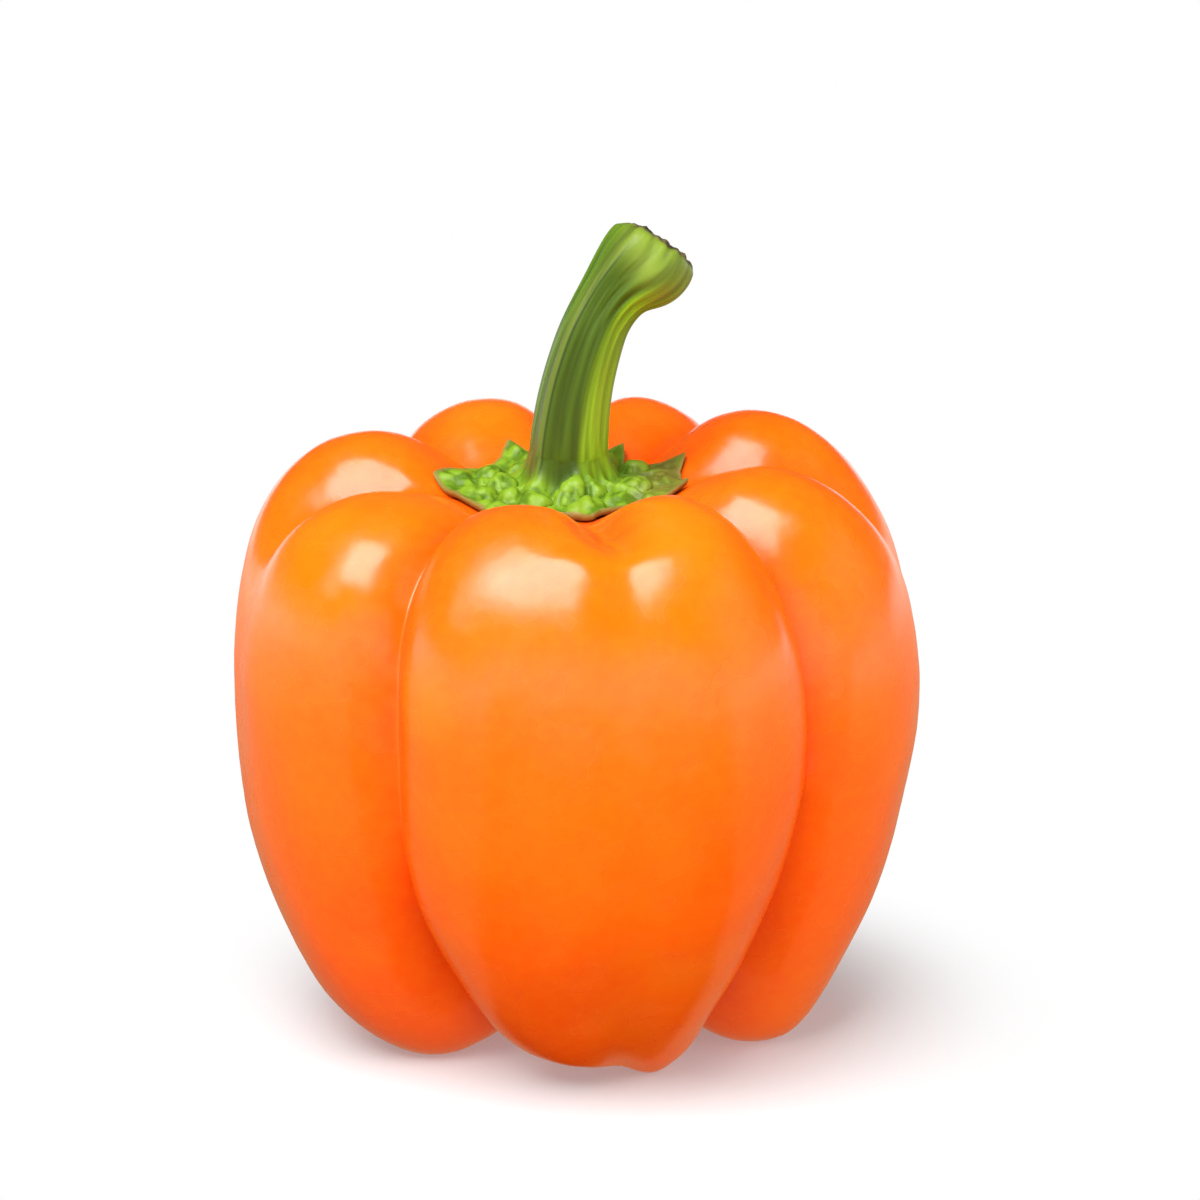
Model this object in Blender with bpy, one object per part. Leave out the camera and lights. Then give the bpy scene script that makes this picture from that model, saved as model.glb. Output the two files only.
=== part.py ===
"""A bell pepper standing on its lobes, as picked: the orange fruit, and the green stem with its calyx.

Metres, +Z up. The origin is on the surface that the fruit stands on, under the middle of it.
Azimuths are in degrees, counted from the front (-Y) round to the right (+X).
Each piece starts as a UV sphere, and a rule of its own carries each point of that sphere to its place.
"""

import functools
import math

import bmesh
import bpy
import numpy as np
from mathutils import Matrix, Vector

MM = 0.001
GAP = 0.35 * MM  # between the calyx and the crown that it lies on

# Fruit: two meridians, as (radius, height) in mm, from the crown's centre to the blossom end.
RIDGE_LINE = (
    (0, 69.5), (7.5, 69.5), (13.2, 70.6), (18.5, 74.6), (25, 77.9), (33.8, 75.8), (40.4, 68.8),
    (43.2, 59), (43.7, 49), (42.9, 38), (40.9, 27.5), (37.7, 16.6), (33.2, 7), (27.0, -0.6),
    (19.8, -2.7), (12, 1.6), (6, 7), (0, 7),
)
GROOVE_LINE = (
    (0, 69.5), (7.5, 69.5), (13.5, 69.6), (18, 70.2), (23.5, 70.4), (29.5, 67.5), (33.6, 61),
    (35.4, 53), (35.6, 45), (34.8, 36.5), (32.8, 28.5), (29.2, 21.5), (24.6, 15.5), (19.6, 11.5),
    (14.8, 9), (10, 7.8), (5, 7), (0, 7),
)
LAST = len(RIDGE_LINE) - 1
# Places along the meridian, and how far their changes spread, both counted in its points.
CREST_AT, WAIST_AT, FOOT_AT = 4.2, 8.5, 13.5
CREST_SPREAD, WAIST_SPREAD, TUCK_SPREAD, LIFT_SPREAD = 1.6, 4, 2.6, 2
BLUNTNESS = 0.5  # lower turns the raised feet under more suddenly

# Eight ridges: azimuth, share of the full reach, crest rise in mm, share by which the foot tucks in,
# foot lift in mm, and the height in mm at which the foot ends bluntly.
RIDGES = (
    (-18, 0.985, -0.1, 0.16, 0.9, 3.3),
    (26, 1.010, 1.0, 0.19, 0.0, 0),
    (73, 1.010, 0.2, 0.00, 0.0, 0),
    (115, 1.000, 1.6, 0.00, 0.8, 0),
    (160, 0.975, -0.3, 0.04, 0.0, 0),
    (204, 0.975, -0.6, 0.04, 0.2, 0),
    (247, 1.010, -0.2, -0.09, 0.8, 0),
    (300, 0.985, -2.0, -0.05, 0.0, 0),
)
MAIN_GROOVES = (-38, 51, 139, 227)  # azimuths of the deep grooves between the four lobes
LOBES = len(MAIN_GROOVES)
MINOR_GROOVES_AT = (0.55, 0.47, 0.47, 0.51)  # where the shallow groove lies across each of those lobes
# How deep the shallow groove is at places along the meridian, as a share of the lobe.
MINOR_DEPTHS = (
    (0, 0), (2, 0.6), (3.5, 0.85), (5, 0.74), (6.5, 0.4), (8, 0.16), (10, 0.06), (13, 0.18),
    (17, 0.1),
)
# On the front lobe it ends sooner below the crest.
FRONT_DEPTHS = (
    (0, 0), (2, 0.6), (3.5, 0.85), (4.3, 0.76), (5.3, 0.32), (6.6, 0.16), (8.5, 0.09), (13, 0.18),
    (17, 0.1),
)
MINOR_WIDTH, MINOR_SHARPNESS = 0.14, 1.5
LOBE_FULLNESS = 2.9  # higher is a squarer lobe with steeper sides
LOBE_STEEPNESS = 0.62
GROOVE_SOFTNESS = 0.05
# The crown and the flanks low down lie a little left of the middle, and the feet right of it.
CROWN_SHIFT, HIP_SHIFT, FOOT_SHIFT = -1.9 * MM, -0.6 * MM, 1.7 * MM
# Where along the meridian that is, and how fast it fades.
CROWN_END, CROWN_FADE = 3, 3.2
HIP_AT, HIP_SPREAD = 10.3, 1.6
FOOT_START, FOOT_FADE = 13.3, 0.9
FRUIT_MERIDIANS, FRUIT_RINGS = 76, 40

# Stem: (x, y, z, radius) in mm along its middle, from the calyx's collar up to the cut.
STEM_LINE = (
    (-1.3, 0, 75.7, 4.8), (-1.2, 0, 78.0, 4.7), (-0.4, 0.2, 84.2, 4.3), (1.4, 0.5, 90.3, 4.1),
    (2.7, 0.8, 93.1, 3.85), (4.7, 1.3, 96.3, 4.1), (7.2, 2.0, 98.5, 5.7), (9.2, 2.7, 100.2, 5.9),
    (10.2, 3.3, 101.6, 4.9),
)
STEM_RIBS = (-40, 19, 88, 160, 240)  # azimuths of the stem's five soft corners
STEM_RIB_DEPTH = 0.045
CUT_RINGS = ((0, -0.5), (0.4, -0.35), (0.8, 0.05))  # the cut face: share of its radius, height mm
LOOK_AHEAD = 0.05  # how far along its line, in points, the stem's direction is read

# Calyx: the outline of its plate as (azimuth, radius mm), pointed where a tooth is.
CALYX_OUTLINE = (
    (3, 11.8), (10, 12.6), (15, 14.9), (21, 13.4), (34, 13.2), (48, 14.2), (64, 14.8), (79, 16.0),
    (92, 14.8), (99, 14.8), (109, 16.2), (115, 13.6), (126, 12.2), (142, 12.4), (151, 15.6),
    (159, 12.6), (171, 12.0), (184, 13.8), (192, 12.0), (198, 12.6), (206, 15.8), (216, 13.4),
    (234, 12.4), (250, 13.5), (266, 16.2), (278, 14.4), (296, 13.9), (314, 13.6), (323, 15.2),
    (332, 13.0), (350, 12.2),
)
# The swollen lumps on it: azimuth, radius, size and height in mm.
CALYX_LUMPS = (
    (5, 7.0, 2.5, 2.3), (30, 7.0, 1.9, 1.9), (-24, 8.8, 2.4, 1.7), (-46, 9.0, 1.7, 1.5),
    (-70, 11.2, 2.3, 1.2), (-84, 7.6, 2.0, 1.6), (249, 9.7, 2.2, 1.4), (222, 7.9, 1.9, 1.5),
    (15, 11.0, 2.6, 1.3), (42, 10.6, 2.6, 1.6), (74, 9.4, 2.1, 1.5), (110, 9.2, 2.0, 1.8),
    (92, 12.6, 2.4, 1.1), (150, 9.2, 2.2, 1.5), (176, 8.2, 1.9, 1.5), (200, 10.4, 2.2, 1.4),
    (264, 12.8, 1.7, 0.8), (-45, 12.0, 1.8, 0.9), (130, 7.4, 1.5, 1.2),
)
LUMP_ROUNDNESS = 0.7  # lower is a lump with steeper sides
# Its ribs, from the stem's corners out to the edge: azimuth, width and height in mm.
CALYX_RIBS = (
    (56, 0.9, 1.3), (266, 0.9, 0.6), (323, 0.9, 0.6), (151, 0.8, 0.8), (206, 0.8, 0.8), (100, 0.8, 0.9),
)
RELIEF_FADE = 5  # lumps and ribs keep their height till near the edge, the more so the higher this is
CALYX_THICKNESS = (1.7 * MM, 0.8 * MM)  # at the collar and at the edge
COLLAR_FLARE = (0.5 * MM, 0.6 * MM)  # how far the stem's foot flares, and how much more at a corner
FLARE_FADE = 2  # the flare ends at the edge, the more suddenly the higher this is
CALYX_EDGE = 0.3 * MM  # how far the underside stays inside the edge
SEAT_POINTS = 40  # how many points of the crown the calyx is laid on, along each azimuth

GREEN_MERIDIANS = 96
STEM_RINGS, CALYX_RINGS, UNDERSIDE_RINGS = 24, 22, 5
GREEN_RINGS = len(CUT_RINGS) + STEM_RINGS + CALYX_RINGS + UNDERSIDE_RINGS + 1


@functools.cache
def carried_on(points):
    """The control points with one more at each end, so that the spline starts and ends on its points."""
    points = np.asarray(points, float)
    return np.vstack((2 * points[0] - points[1], points, 2 * points[-1] - points[-2]))


def spline(points, t):
    """The point at t, counted in control points, of a uniform cubic B-spline."""
    padded = carried_on(points)
    i = min(int(t), len(points) - 2)
    f = t - i
    weights = (
        (1 - f) ** 3,
        3 * f**3 - 6 * f**2 + 4,
        -3 * f**3 + 3 * f**2 + 3 * f + 1,
        f**3,
    )
    return sum(w * p for w, p in zip(weights, padded[i : i + 4])) / 6


def between(azimuths, azimuth):
    """Which of the azimuths comes before this one, and the share of the way from it to the next."""
    turned = (azimuth - azimuths[0]) % 360 + azimuths[0]
    ends = tuple(azimuths) + (azimuths[0] + 360,)
    i = max(k for k, a in enumerate(azimuths) if a <= turned)
    return i, (turned - ends[i]) / (ends[i + 1] - ends[i])


def near(t, centre, width):
    return math.exp(-(((t - centre) / width) ** 2))


@functools.cache
def ridge_traits(azimuth):
    """Reach, crest rise, tuck, lift and sole at an azimuth, running smoothly from ridge to ridge."""
    i, share = between([ridge[0] for ridge in RIDGES], azimuth)
    ease = share * share * (3 - 2 * share)
    before, after = np.array(RIDGES[i][1:]), np.array(RIDGES[(i + 1) % len(RIDGES)][1:])
    return before * (1 - ease) + after * ease


def ridge_weight(azimuth, t):
    """1 on the ridge line and 0 in a deep groove, with the shallow groove's dip across each lobe."""
    lobe, share = between(MAIN_GROOVES, azimuth)
    from_groove = 1 - abs(2 * share - 1)
    rounded = math.hypot(from_groove, GROOVE_SOFTNESS) - GROOVE_SOFTNESS
    rounded /= math.hypot(1, GROOVE_SOFTNESS) - GROOVE_SOFTNESS
    arch = (1 - (1 - rounded) ** LOBE_FULLNESS) ** LOBE_STEEPNESS
    depths = FRONT_DEPTHS if lobe == 0 else MINOR_DEPTHS
    depth = np.interp(t, [d[0] for d in depths], [d[1] for d in depths])
    notch = 1 / (1 + ((share - MINOR_GROOVES_AT[lobe]) / MINOR_WIDTH) ** 2) ** MINOR_SHARPNESS
    return arch * (1 - depth * notch)


def meridian(azimuth, t):
    """(radius, height) of the fruit's skin at an azimuth, t points along the meridian."""
    w = ridge_weight(azimuth, t)
    radius, height = w * spline(RIDGE_LINE, t) + (1 - w) * spline(GROOVE_LINE, t)
    reach, rise, tuck, lift, sole = ridge_traits(azimuth)
    narrowed = (1 - reach) * near(t, WAIST_AT, WAIST_SPREAD) + tuck * near(t, FOOT_AT, TUCK_SPREAD)
    height += rise * near(t, CREST_AT, CREST_SPREAD) + lift * near(t, FOOT_AT, LIFT_SPREAD)
    # Never below the sole, with a soft turn there. Where the sole is the ground, the turn is sharp.
    height = (height + sole + math.hypot(height - sole, BLUNTNESS * sole)) / 2
    return radius * (1 - narrowed) * MM, height * MM


def fruit_azimuth(turn):
    """The azimuth of a meridian of the sphere, which crowds them towards the grooves."""
    lobe = min(int(turn * LOBES), LOBES - 1)
    share = turn * LOBES - lobe
    share -= math.sin(4 * math.pi * share) / (8 * math.pi)
    ends = MAIN_GROOVES + (MAIN_GROOVES[0] + 360,)
    return ends[lobe] + share * (ends[lobe + 1] - ends[lobe])


def sideways(t):
    """How far right of the middle the skin's sections lie, t points along the meridian."""
    crown = CROWN_SHIFT * near(max(t - CROWN_END, 0), 0, CROWN_FADE)
    foot = FOOT_SHIFT * near(min(t - FOOT_START, 0), 0, FOOT_FADE)
    return crown + HIP_SHIFT * near(t, HIP_AT, HIP_SPREAD) + foot


def place_fruit(turn, down):
    azimuth, t = fruit_azimuth(turn), down * LAST
    radius, height = meridian(azimuth, t)
    a = math.radians(azimuth)
    return Vector((radius * math.sin(a) + sideways(t), -radius * math.cos(a), height))


@functools.cache
def crown_seat(azimuth):
    """(radii, heights) of the crown along an azimuth, from its centre out to the crest."""
    return np.transpose([meridian(azimuth, t) for t in np.linspace(0, CREST_AT, SEAT_POINTS)])


def corner(azimuth):
    """1 at the stem's soft corners and -1 half-way between them."""
    return math.cos(2 * math.pi * between(STEM_RIBS, azimuth)[1])


def stem_section(share):
    """The frame, middle and radius of the stem's section, share of the way from foot to cut."""
    end = len(STEM_LINE) - 1
    t = share * end
    *middle, radius = spline(STEM_LINE, t) * MM
    ahead = spline(STEM_LINE, min(t + LOOK_AHEAD, end))
    behind = spline(STEM_LINE, max(t - LOOK_AHEAD, 0))
    along = Vector((ahead - behind)[:3]).normalized()
    right = Vector((0, 1, 0)).cross(along).normalized()
    frame = Matrix((right, along.cross(right), along)).transposed()
    return frame, Vector(middle), radius


def stem_point(azimuth, share, out=1, height=0):
    """A point of the stem's side, or of its cut face with out below 1."""
    frame, middle, radius = stem_section(share)
    a = math.radians(azimuth)
    reach = radius * (1 + STEM_RIB_DEPTH * corner(azimuth)) * out
    return frame @ Vector((reach * math.sin(a), -reach * math.cos(a), height)) + middle


def outline(azimuth):
    """The radius of the calyx's edge."""
    azimuths, radii = zip(*CALYX_OUTLINE)
    return np.interp(azimuth, azimuths, radii, period=360) * MM


def relief(azimuth, radius):
    """How far the calyx's lumps and ribs stand out of it, with creases where two of them meet."""
    height = 0
    for at, middle, size, rise in CALYX_LUMPS:
        away = math.radians(azimuth - at)
        apart = math.sqrt(max(radius**2 + middle**2 - 2 * radius * middle * math.cos(away), 0))
        height = max(height, rise * max(0, 1 - (apart / size) ** 2) ** LUMP_ROUNDNESS)
    for at, width, rise in CALYX_RIBS:
        off = math.radians((azimuth - at + 180) % 360 - 180)
        height = max(height, rise * near(radius * off, 0, width))
    return height


def calyx_point(azimuth, share):
    """A point of the calyx's upper face, from the stem's foot, 0, to its edge, 1."""
    foot = stem_point(azimuth, 0)
    a = math.radians(azimuth)
    edge = Vector((outline(azimuth) * math.sin(a) + CROWN_SHIFT, -outline(azimuth) * math.cos(a), 0))
    spot = foot.xy.lerp(edge.xy, share)
    radius = (spot - Vector((CROWN_SHIFT, 0))).length
    thickness = CALYX_THICKNESS[0] + (CALYX_THICKNESS[1] - CALYX_THICKNESS[0]) * share
    swell = relief(azimuth, radius / MM) * MM * (1 - share**RELIEF_FADE)
    height = float(np.interp(radius, *crown_seat(azimuth))) + GAP + thickness + swell
    flare = COLLAR_FLARE[0] + COLLAR_FLARE[1] * max(0, corner(azimuth))
    lift = math.exp(-(spot - foot.xy).length / flare) * (1 - share**FLARE_FADE)
    return Vector((*spot, height + (foot.z - height) * lift))


def underside_point(azimuth, share):
    a = math.radians(azimuth)
    radius = (outline(azimuth) - CALYX_EDGE) * share
    height = float(np.interp(radius, *crown_seat(azimuth))) + GAP
    return Vector((radius * math.sin(a) + CROWN_SHIFT, -radius * math.cos(a), height))


def place_green(turn, down):
    """Down the cut face, the stem's side and the calyx to its edge, and back along the underside."""
    azimuth = 360 * turn
    ring = round(down * GREEN_RINGS)
    if ring < len(CUT_RINGS):
        out, height = CUT_RINGS[ring]
        return stem_point(azimuth, 1, out, height * MM)
    ring -= len(CUT_RINGS)
    if ring < STEM_RINGS:
        return stem_point(azimuth, 1 - ring / STEM_RINGS)
    ring -= STEM_RINGS
    if ring <= CALYX_RINGS:
        return calyx_point(azimuth, ring / CALYX_RINGS)
    return underside_point(azimuth, 1 - (ring - CALYX_RINGS - 1) / UNDERSIDE_RINGS)


def skin(name, colour, roughness):
    material = bpy.data.materials.new(name)
    material.use_nodes = True
    shader = material.node_tree.nodes["Principled BSDF"]
    shader.inputs["Base Color"].default_value = (*colour, 1)
    shader.inputs["Roughness"].default_value = roughness
    material.diffuse_color = (*colour, 1)
    return material


def grown(name, meridians, rings, place, material, parts):
    """A piece: a UV sphere whose points go where place(turn, down) says, both shares of the whole."""
    shape = bmesh.new()
    bmesh.ops.create_uvsphere(shape, u_segments=meridians, v_segments=rings, radius=1)
    for v in shape.verts:
        turn = (math.atan2(v.co.y, v.co.x) / (2 * math.pi)) % 1
        turn = round(turn * meridians) % meridians / meridians
        down = round(math.acos(max(-1, min(1, v.co.z))) / math.pi * rings) / rings
        v.co = place(turn, down)
    bmesh.ops.recalc_face_normals(shape, faces=shape.faces)
    mesh = bpy.data.meshes.new(name)
    shape.to_mesh(mesh)
    shape.free()
    mesh.shade_smooth()
    mesh.materials.append(material)
    piece = bpy.data.objects.new(name, mesh)
    parts.objects.link(piece)
    return piece


def centre_on_origin(pieces):
    """Moves the pieces so that the middle of the box round them all stands over the origin."""
    corners = np.array([v.co for piece in pieces for v in piece.data.vertices])
    middle = (corners.min(axis=0) + corners.max(axis=0)) / 2
    for piece in pieces:
        piece.data.transform(Matrix.Translation((-middle[0], -middle[1], -corners[:, 2].min())))


def main():
    for old in list(bpy.data.objects):
        bpy.data.objects.remove(old)
    parts = bpy.data.collections.new("bell_pepper")
    bpy.context.scene.collection.children.link(parts)
    orange = skin("pepper_skin", (0.95, 0.25, 0.01), 0.3)
    green = skin("stem_green", (0.2, 0.4, 0.04), 0.5)
    fruit = grown("fruit", FRUIT_MERIDIANS, FRUIT_RINGS, place_fruit, orange, parts)
    stem = grown("stem_with_calyx", GREEN_MERIDIANS, GREEN_RINGS, place_green, green, parts)
    centre_on_origin((fruit, stem))


main()
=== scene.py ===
# %% [markdown]
# # An orange bell pepper, standing on its lobes
#
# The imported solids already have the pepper's form: four lobes with a shallow groove across each of them,
# and a green stem that is grown in one with its lumpy calyx. This script gives that form its looks.
# Each solid is grown again from a sheet with many more faces, by the rule that shaped the solid, and it
# gets the finer relief that a pepper has. Then come the camera, soft light, a pale table, the waxy orange
# skin and the streaked green one.

# %% The tools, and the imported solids
import math

import bpy
import numpy as np
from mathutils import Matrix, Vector, noise


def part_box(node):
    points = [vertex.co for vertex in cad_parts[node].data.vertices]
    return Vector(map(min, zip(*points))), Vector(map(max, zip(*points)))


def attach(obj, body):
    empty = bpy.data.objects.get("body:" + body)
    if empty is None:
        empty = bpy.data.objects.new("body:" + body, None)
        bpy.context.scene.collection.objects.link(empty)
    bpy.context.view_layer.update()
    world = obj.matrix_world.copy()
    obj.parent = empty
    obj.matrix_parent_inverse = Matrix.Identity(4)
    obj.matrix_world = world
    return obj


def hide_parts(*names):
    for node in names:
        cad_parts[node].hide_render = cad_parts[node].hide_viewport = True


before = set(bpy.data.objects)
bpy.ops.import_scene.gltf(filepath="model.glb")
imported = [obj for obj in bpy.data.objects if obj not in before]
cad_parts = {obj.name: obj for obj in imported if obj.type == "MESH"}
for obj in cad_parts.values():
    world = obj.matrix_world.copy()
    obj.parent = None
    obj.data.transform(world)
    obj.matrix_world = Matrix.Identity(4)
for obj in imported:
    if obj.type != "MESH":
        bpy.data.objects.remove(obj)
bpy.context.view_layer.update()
MM = 0.001


def in_mm(box):
    """The corners of a box, in millimetres."""
    return [[round(float(c) / MM, 2) for c in corner] for corner in box]


# %% [markdown]
# ## A sheet of squares, rolled round
#
# A pepper closes at both ends, as a sphere does: its meridians run from the stem down to the blossom end,
# and its rings are sections. A fine sphere could be added ready made, but a flat grid is quicker, and it
# says plainly which column and which row each corner is in. The columns become meridians and the rows
# rings. Where the sheet's two sides meet, and at the poles, corners fall on each other and are merged.
# The grid's UV map comes along, and tells the materials which way the skin has grown.

# %% Starting a piece, and carrying its corners
MERGE = 0.001 * MM


def sheet(name, meridians, rings):
    """A flat grid, and for each of its corners the ring and the meridian that it will be on."""
    bpy.ops.object.select_all(action="DESELECT")
    bpy.ops.mesh.primitive_grid_add(x_subdivisions=meridians, y_subdivisions=rings, size=2)
    piece = bpy.context.object
    piece.name = name
    place = places(piece)
    meridian = np.round((place[:, 0] + 1) / 2 * meridians).astype(int)
    ring = np.round((1 - place[:, 1]) / 2 * rings).astype(int)
    return piece, ring, meridian


def places(piece):
    """The places of a piece's corners, as an array."""
    numbers = np.zeros(len(piece.data.vertices) * 3)
    piece.data.vertices.foreach_get("co", numbers)
    return numbers.reshape(-1, 3)


def carry(piece, place):
    """Moves the corners to their places, closes the seam and the poles, and turns the faces outward."""
    piece.data.vertices.foreach_set("co", place.ravel())
    piece.data.update()
    bpy.context.view_layer.objects.active = piece
    bpy.ops.object.mode_set(mode="EDIT")
    bpy.ops.mesh.select_all(action="SELECT")
    bpy.ops.mesh.remove_doubles(threshold=MERGE)
    bpy.ops.mesh.normals_make_consistent(inside=False)
    bpy.ops.object.mode_set(mode="OBJECT")
    bpy.ops.object.shade_smooth()
    corners = places(piece)
    print(piece.name, len(piece.data.polygons), "faces", in_mm((corners.min(axis=0), corners.max(axis=0))))


# %% [markdown]
# ## Relief on a grown surface
#
# The finer relief moves each corner straight out of the skin or into it. Random relief comes from smooth
# noise, and lumps with creases between them from cells, whose borders are as far from one middle as from
# the next. What a corner knows of its place, such as how deep in a crease it lies, is kept with it for the
# materials.

# %% Facing, waves, cells and notes
CELL_FULL = 0.55  # how much nearer its own middle than the next one a place is where a cell is full
LEAST_WIDTH = 1e-12  # keeps the poles, where a grid has no width, from being divided by nothing


def outward(grid):
    """The direction that the surface faces, at each corner of a grid of rings and meridians."""
    along_ring = np.roll(grid, -1, axis=1) - np.roll(grid, 1, axis=1)
    facing = np.cross(np.gradient(grid, axis=0), along_ring)
    return facing / np.maximum(np.linalg.norm(facing, axis=-1, keepdims=True), LEAST_WIDTH)


def waves(place, size, seed):
    """Smooth noise from -1 to 1, with hills of about that size, at each place of a grid."""
    spots = (place / size + seed).reshape(-1, 3)
    return np.array([noise.noise(spot) for spot in spots.tolist()]).reshape(place.shape[:-1])


def cells(place, size, seed):
    """Rounded cells of about that size: 0 at their borders, rising to 1 inside."""
    spots = (place / size + seed).reshape(-1, 3)
    nearest = np.array([noise.voronoi(spot)[0][:2] for spot in spots.tolist()])
    inside = np.clip(nearest[:, 1] - nearest[:, 0], 0, CELL_FULL) / CELL_FULL
    return np.sin(inside * np.pi / 2).reshape(place.shape[:-1])


def keep(piece, name, values):
    """Keeps a number for each corner, which a material can read by that name."""
    layer = piece.data.attributes.new(name, "FLOAT", "POINT")
    layer.data.foreach_set("value", np.ascontiguousarray(values, np.float32))


# %% [markdown]
# ## Curves from a few points
#
# The outline of a fruit is a smooth curve that a few points pull into shape. A uniform cubic B-spline is
# such a curve: it never wiggles between its points, so a change of one point stays where it is made.

# %% Splines, and steps between azimuths
def spline(points, t):
    """The points at each t, counted in control points, of a uniform cubic B-spline."""
    points = np.asarray(points, float)
    padded = np.vstack((2 * points[0] - points[1], points, 2 * points[-1] - points[-2]))
    i = np.minimum(t.astype(int), len(points) - 2)
    f = (t - i)[..., None]
    weights = ((1 - f) ** 3, 3 * f**3 - 6 * f**2 + 4, -3 * f**3 + 3 * f**2 + 3 * f + 1, f**3)
    return sum(weight * padded[i + k] for k, weight in enumerate(weights)) / 6


def between(azimuths, azimuth):
    """Which of the azimuths listed comes before each one, and the share of the way from it to the next."""
    ends = np.append(azimuths, azimuths[0] + 360)
    turned = (azimuth - ends[0]) % 360 + ends[0]
    i = np.clip(np.searchsorted(ends, turned, side="right") - 1, 0, len(azimuths) - 1)
    return i, (turned - ends[i]) / (ends[i + 1] - ends[i])


def near(x, centre, width):
    """1 at the centre, falling to nothing over about twice the width on both sides."""
    return np.exp(-(((x - centre) / width) ** 2))


def rising(x, low, high):
    """0 below low and 1 above high, with a soft step between them."""
    t = np.clip((x - low) / (high - low), 0, 1)
    return t * t * (3 - 2 * t)


# %% [markdown]
# ## The fruit
#
# Cut the pepper open from the stem to the blossom end and two outlines matter: one over the top of a lobe,
# and one down the bottom of a groove. Every other outline lies between the two, as far out as the lobe is
# round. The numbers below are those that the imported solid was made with, so the finer fruit lies on it.

# %% The fruit's outlines and ridges
RIDGE_LINE = (
    (0, 69.5), (7.5, 69.5), (13.2, 70.6), (18.5, 74.6), (25, 77.9), (33.8, 75.8), (40.4, 68.8),
    (43.2, 59), (43.7, 49), (42.9, 38), (40.9, 27.5), (37.7, 16.6), (33.2, 7), (27.0, -0.6),
    (19.8, -2.7), (12, 1.6), (6, 7), (0, 7),
)
GROOVE_LINE = (
    (0, 69.5), (7.5, 69.5), (13.5, 69.6), (18, 70.2), (23.5, 70.4), (29.5, 67.5), (33.6, 61),
    (35.4, 53), (35.6, 45), (34.8, 36.5), (32.8, 28.5), (29.2, 21.5), (24.6, 15.5), (19.6, 11.5),
    (14.8, 9), (10, 7.8), (5, 7), (0, 7),
)
LAST = len(RIDGE_LINE) - 1
# Places along the meridian, and how far their changes spread, both counted in its points.
CREST_AT, WAIST_AT, FOOT_AT = 4.2, 8.5, 13.5
CREST_SPREAD, WAIST_SPREAD, TUCK_SPREAD, LIFT_SPREAD = 1.6, 4, 2.6, 2
BLUNTNESS = 0.5  # lower turns the raised feet under more suddenly
# Eight ridges: azimuth, share of the full reach, crest rise in mm, share by which the foot tucks in,
# foot lift in mm, and the height in mm at which the foot ends bluntly.
RIDGES = (
    (-18, 0.985, -0.1, 0.16, 0.9, 3.3),
    (26, 1.010, 1.0, 0.19, 0.0, 0),
    (73, 1.010, 0.2, 0.00, 0.0, 0),
    (115, 1.000, 1.6, 0.00, 0.8, 0),
    (160, 0.975, -0.3, 0.04, 0.0, 0),
    (204, 0.975, -0.6, 0.04, 0.2, 0),
    (247, 1.010, -0.2, -0.09, 0.8, 0),
    (300, 0.985, -2.0, -0.05, 0.0, 0),
)
MAIN_GROOVES = (-38, 51, 139, 227)  # azimuths of the deep grooves between the four lobes
LOBES = len(MAIN_GROOVES)
MINOR_GROOVES_AT = (0.55, 0.47, 0.47, 0.51)  # where the shallow groove lies across each of those lobes
# How deep the shallow groove is at places along the meridian, as a share of the lobe.
MINOR_DEPTHS = (
    (0, 0), (2, 0.6), (3.5, 0.85), (5, 0.74), (6.5, 0.4), (8, 0.16), (10, 0.06), (13, 0.18),
    (17, 0.1),
)
# On the front lobe it ends sooner below the crest.
FRONT_DEPTHS = (
    (0, 0), (2, 0.6), (3.5, 0.85), (4.3, 0.76), (5.3, 0.32), (6.6, 0.16), (8.5, 0.09), (13, 0.18),
    (17, 0.1),
)
MINOR_WIDTH, MINOR_SHARPNESS = 0.14, 1.5
LOBE_FULLNESS = 2.9  # higher is a squarer lobe with steeper sides
LOBE_STEEPNESS = 0.62
GROOVE_SOFTNESS = 0.05
# The crown and the flanks low down lie a little left of the middle, and the feet right of it.
CROWN_SHIFT, HIP_SHIFT, FOOT_SHIFT = -1.9 * MM, -0.6 * MM, 1.7 * MM
# Where along the meridian that is, and how fast it fades.
CROWN_END, CROWN_FADE = 3, 3.2
HIP_AT, HIP_SPREAD = 10.3, 1.6
FOOT_START, FOOT_FADE = 13.3, 0.9


# %% The fruit's rule
def ridge_traits(azimuth):
    """A ridge's reach, crest rise, tuck, lift and sole at each azimuth, smooth from ridge to ridge."""
    traits = np.array([ridge[1:] for ridge in RIDGES])
    i, share = between([ridge[0] for ridge in RIDGES], azimuth)
    ease = (share * share * (3 - 2 * share))[..., None]
    mixed = traits[i] * (1 - ease) + traits[(i + 1) % len(RIDGES)] * ease
    return np.moveaxis(mixed, -1, 0)


def ridge_weight(azimuth, t):
    """1 on the ridge line and 0 in a deep groove, with the shallow groove's dip across each lobe."""
    lobe, share = between(MAIN_GROOVES, azimuth)
    from_groove = 1 - abs(2 * share - 1)
    rounded = np.hypot(from_groove, GROOVE_SOFTNESS) - GROOVE_SOFTNESS
    rounded /= math.hypot(1, GROOVE_SOFTNESS) - GROOVE_SOFTNESS
    arch = (1 - (1 - rounded) ** LOBE_FULLNESS) ** LOBE_STEEPNESS
    elsewhere, front = (np.interp(t, *np.transpose(depths)) for depths in (MINOR_DEPTHS, FRONT_DEPTHS))
    depth = np.where(lobe == 0, front, elsewhere)
    off = (share - np.array(MINOR_GROOVES_AT)[lobe]) / MINOR_WIDTH
    return arch * (1 - depth / (1 + off**2) ** MINOR_SHARPNESS)


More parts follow.
